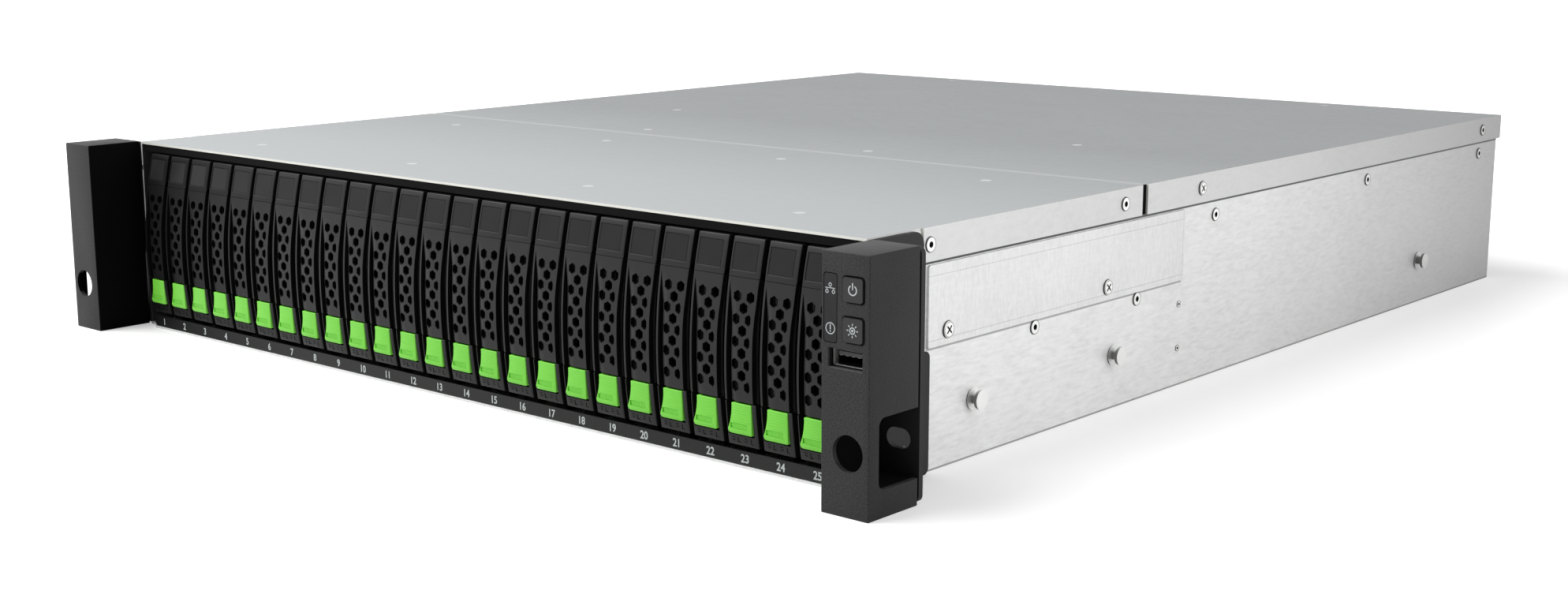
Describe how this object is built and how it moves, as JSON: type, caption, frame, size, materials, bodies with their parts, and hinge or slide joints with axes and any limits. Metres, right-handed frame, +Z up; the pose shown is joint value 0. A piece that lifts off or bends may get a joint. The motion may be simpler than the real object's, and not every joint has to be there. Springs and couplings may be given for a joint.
{
  "type": "disk shelf enclosure",
  "caption": "Rack-mounted disk shelf, two units high: sheet-metal body, row of vertical drive carriers with green release tabs, screw-through ears, rear canisters and power supplies.",
  "frame": {"origin": "on the underside, below the middle of the overall box (ears, body and rear handles)", "axes": "+Z up, +Y from the front row of drives towards the rear, +X to the right seen from the front"},
  "size_m": [0.4826, 0.5958, 0.088],
  "materials": {
    "bright_steel": "bright galvanised sheet, fine rolling streaks",
    "cover_steel": "smooth coated sheet, grey with a blue cast",
    "black_steel": "matt black powder coat",
    "black_plastic": "satin black moulding",
    "ear_plastic": "matt charcoal with a fine speckle",
    "button_plastic": "satin black key top",
    "indicator_plastic": "smoked light window",
    "green_plastic": "satin bright green moulding",
    "lever_plastic": "satin black moulding",
    "circuit_board": "green solder mask",
    "connector_plastic": "black connector body",
    "turned_steel": "zinc-plated",
    "printed_grey": "pale grey printed numbers and symbols",
    "drive_metal": "cast and rolled drive case"
  },
  "bodies": {
    "enclosure": {"backplane_board": "circuit_board", "backplane_connectors": "connector_plastic", "cage_roof": "black_steel", "chassis_base": "bright_steel", "front_cover": "cover_steel", "front_io_board": "circuit_board", "guide_rails": "black_plastic", "indicator_window": "indicator_plastic", "left_ear_bracket": "black_steel", "left_ear_housing": "ear_plastic", "number_strip": "black_plastic", "rail_studs": "turned_steel", "rear_cover": "cover_steel", "rear_frame": "bright_steel", "right_ear_bracket": "black_steel", "right_ear_housing": "ear_plastic", "rivets": "turned_steel", "screws": "turned_steel", "side_plates": "bright_steel"},
    "drive_01": {"drive_carrier_01": "black_plastic"},
    "drive_02": {"drive_carrier_02": "black_plastic"},
    "drive_03": {"drive_carrier_03": "black_plastic"},
    "drive_04": {"drive_carrier_04": "black_plastic"},
    "drive_05": {"drive_carrier_05": "black_plastic"},
    "drive_06": {"drive_carrier_06": "black_plastic"},
    "drive_07": {"drive_carrier_07": "black_plastic"},
    "drive_08": {"drive_carrier_08": "black_plastic"},
    "drive_09": {"drive_carrier_09": "black_plastic"},
    "drive_10": {"drive_carrier_10": "black_plastic"},
    "drive_11": {"drive_carrier_11": "black_plastic"},
    "drive_12": {"drive_carrier_12": "black_plastic"},
    "drive_13": {"drive_carrier_13": "black_plastic"},
    "drive_14": {"drive_carrier_14": "black_plastic"},
    "drive_15": {"drive_carrier_15": "black_plastic"},
    "drive_16": {"drive_carrier_16": "black_plastic"},
    "drive_17": {"drive_carrier_17": "black_plastic"},
    "drive_18": {"drive_carrier_18": "black_plastic"},
    "drive_19": {"drive_carrier_19": "black_plastic"},
    "drive_20": {"drive_carrier_20": "black_plastic"},
    "drive_21": {"drive_carrier_21": "black_plastic"},
    "drive_22": {"drive_carrier_22": "black_plastic"},
    "drive_23": {"drive_carrier_23": "black_plastic"},
    "drive_24": {"drive_carrier_24": "black_plastic"},
    "drive_25": {"drive_carrier_25": "black_plastic"},
    "lever_03": {"carrier_lever_03": "black_plastic"},
    "tab_03": {"carrier_tab_03": "green_plastic"},
    "lever_13": {"carrier_lever_13": "black_plastic"},
    "tab_13": {"carrier_tab_13": "green_plastic"},
    "lever_23": {"carrier_lever_23": "black_plastic"},
    "tab_23": {"carrier_tab_23": "green_plastic"},
    "power_key": {"power_button": "button_plastic"},
    "locate_key": {"locate_button": "button_plastic"},
    "lower_module": {"lower_canister": "bright_steel"},
    "lower_ejector": {"lower_canister_lever": "lever_plastic"},
    "upper_module": {"upper_canister": "bright_steel"},
    "upper_ejector": {"upper_canister_lever": "lever_plastic"},
    "left_supply": {"left_power_supply": "bright_steel"},
    "left_fan": {"left_fan_rotor": "black_plastic"},
    "right_supply": {"right_power_supply": "bright_steel"},
    "right_fan": {"right_fan_rotor": "black_plastic"}
  },
  "joints": [
    {"name": "drive_slide_01", "type": "slide", "parent": "enclosure", "child": "drive_01", "axis": [0, -1, 0], "range_m": [0, 0.14]},
    {"name": "drive_slide_02", "type": "slide", "parent": "enclosure", "child": "drive_02", "axis": [0, -1, 0], "range_m": [0, 0.14]},
    {"name": "drive_slide_03", "type": "slide", "parent": "enclosure", "child": "drive_03", "axis": [0, -1, 0], "range_m": [0, 0.14]},
    {"name": "drive_slide_04", "type": "slide", "parent": "enclosure", "child": "drive_04", "axis": [0, -1, 0], "range_m": [0, 0.14]},
    {"name": "drive_slide_05", "type": "slide", "parent": "enclosure", "child": "drive_05", "axis": [0, -1, 0], "range_m": [0, 0.14]},
    {"name": "drive_slide_06", "type": "slide", "parent": "enclosure", "child": "drive_06", "axis": [0, -1, 0], "range_m": [0, 0.14]},
    {"name": "drive_slide_07", "type": "slide", "parent": "enclosure", "child": "drive_07", "axis": [0, -1, 0], "range_m": [0, 0.14]},
    {"name": "drive_slide_08", "type": "slide", "parent": "enclosure", "child": "drive_08", "axis": [0, -1, 0], "range_m": [0, 0.14]},
    {"name": "drive_slide_09", "type": "slide", "parent": "enclosure", "child": "drive_09", "axis": [0, -1, 0], "range_m": [0, 0.14]},
    {"name": "drive_slide_10", "type": "slide", "parent": "enclosure", "child": "drive_10", "axis": [0, -1, 0], "range_m": [0, 0.14]},
    {"name": "drive_slide_11", "type": "slide", "parent": "enclosure", "child": "drive_11", "axis": [0, -1, 0], "range_m": [0, 0.14]},
    {"name": "drive_slide_12", "type": "slide", "parent": "enclosure", "child": "drive_12", "axis": [0, -1, 0], "range_m": [0, 0.14]},
    {"name": "drive_slide_13", "type": "slide", "parent": "enclosure", "child": "drive_13", "axis": [0, -1, 0], "range_m": [0, 0.14]},
    {"name": "drive_slide_14", "type": "slide", "parent": "enclosure", "child": "drive_14", "axis": [0, -1, 0], "range_m": [0, 0.14]},
    {"name": "drive_slide_15", "type": "slide", "parent": "enclosure", "child": "drive_15", "axis": [0, -1, 0], "range_m": [0, 0.14]},
    {"name": "drive_slide_16", "type": "slide", "parent": "enclosure", "child": "drive_16", "axis": [0, -1, 0], "range_m": [0, 0.14]},
    {"name": "drive_slide_17", "type": "slide", "parent": "enclosure", "child": "drive_17", "axis": [0, -1, 0], "range_m": [0, 0.14]},
    {"name": "drive_slide_18", "type": "slide", "parent": "enclosure", "child": "drive_18", "axis": [0, -1, 0], "range_m": [0, 0.14]},
    {"name": "drive_slide_19", "type": "slide", "parent": "enclosure", "child": "drive_19", "axis": [0, -1, 0], "range_m": [0, 0.14]},
    {"name": "drive_slide_20", "type": "slide", "parent": "enclosure", "child": "drive_20", "axis": [0, -1, 0], "range_m": [0, 0.14]},
    {"name": "drive_slide_21", "type": "slide", "parent": "enclosure", "child": "drive_21", "axis": [0, -1, 0], "range_m": [0, 0.14]},
    {"name": "drive_slide_22", "type": "slide", "parent": "enclosure", "child": "drive_22", "axis": [0, -1, 0], "range_m": [0, 0.14]},
    {"name": "drive_slide_23", "type": "slide", "parent": "enclosure", "child": "drive_23", "axis": [0, -1, 0], "range_m": [0, 0.14]},
    {"name": "drive_slide_24", "type": "slide", "parent": "enclosure", "child": "drive_24", "axis": [0, -1, 0], "range_m": [0, 0.14]},
    {"name": "drive_slide_25", "type": "slide", "parent": "enclosure", "child": "drive_25", "axis": [0, -1, 0], "range_m": [0, 0.14]},
    {"name": "lever_hinge_03", "type": "hinge", "parent": "drive_03", "child": "lever_03", "pos_m": [-0.168, -0.27125, 0.0665], "axis": [-1, 0, 0], "range_deg": [0, 50]},
    {"name": "tab_press_03", "type": "hinge", "parent": "drive_03", "child": "tab_03", "pos_m": [-0.168, -0.27585, 0.0146], "axis": [-1, 0, 0], "range_deg": [0, 6], "stiffness_Nm_per_rad": 0.02},
    {"name": "lever_hinge_13", "type": "hinge", "parent": "drive_13", "child": "lever_13", "pos_m": [0, -0.27125, 0.0665], "axis": [-1, 0, 0], "range_deg": [0, 50]},
    {"name": "tab_press_13", "type": "hinge", "parent": "drive_13", "child": "tab_13", "pos_m": [0, -0.27585, 0.0146], "axis": [-1, 0, 0], "range_deg": [0, 6], "stiffness_Nm_per_rad": 0.02},
    {"name": "lever_hinge_23", "type": "hinge", "parent": "drive_23", "child": "lever_23", "pos_m": [0.168, -0.27125, 0.0665], "axis": [-1, 0, 0], "range_deg": [0, 50]},
    {"name": "tab_press_23", "type": "hinge", "parent": "drive_23", "child": "tab_23", "pos_m": [0.168, -0.27585, 0.0146], "axis": [-1, 0, 0], "range_deg": [0, 6], "stiffness_Nm_per_rad": 0.02},
    {"name": "power_press", "type": "slide", "parent": "enclosure", "child": "power_key", "axis": [0, 1, 0], "range_m": [0, 0.001], "stiffness_N_per_m": 300},
    {"name": "locate_press", "type": "slide", "parent": "enclosure", "child": "locate_key", "axis": [0, 1, 0], "range_m": [0, 0.001], "stiffness_N_per_m": 300},
    {"name": "lower_canister_slide", "type": "slide", "parent": "enclosure", "child": "lower_module", "axis": [0, 1, 0], "range_m": [0, 0.3]},
    {"name": "lower_ejector_hinge", "type": "hinge", "parent": "lower_module", "child": "lower_ejector", "pos_m": [-0.1042, 0.27455, 0.02205], "axis": [0, 0, 1], "range_deg": [0, 60]},
    {"name": "upper_canister_slide", "type": "slide", "parent": "enclosure", "child": "upper_module", "axis": [0, 1, 0], "range_m": [0, 0.3]},
    {"name": "upper_ejector_hinge", "type": "hinge", "parent": "upper_module", "child": "upper_ejector", "pos_m": [-0.1042, 0.27455, 0.06495], "axis": [0, 0, 1], "range_deg": [0, 60]},
    {"name": "left_supply_slide", "type": "slide", "parent": "enclosure", "child": "left_supply", "axis": [0, 1, 0], "range_m": [0, 0.3]},
    {"name": "left_fan_spin", "type": "hinge", "parent": "left_supply", "child": "left_fan", "pos_m": [-0.18275, 0.25725, 0.0435], "axis": [0, 1, 0], "continuous": true},
    {"name": "right_supply_slide", "type": "slide", "parent": "enclosure", "child": "right_supply", "axis": [0, 1, 0], "range_m": [0, 0.3]},
    {"name": "right_fan_spin", "type": "hinge", "parent": "right_supply", "child": "right_fan", "pos_m": [0.18275, 0.25725, 0.0435], "axis": [0, 1, 0], "continuous": true}
  ]
}
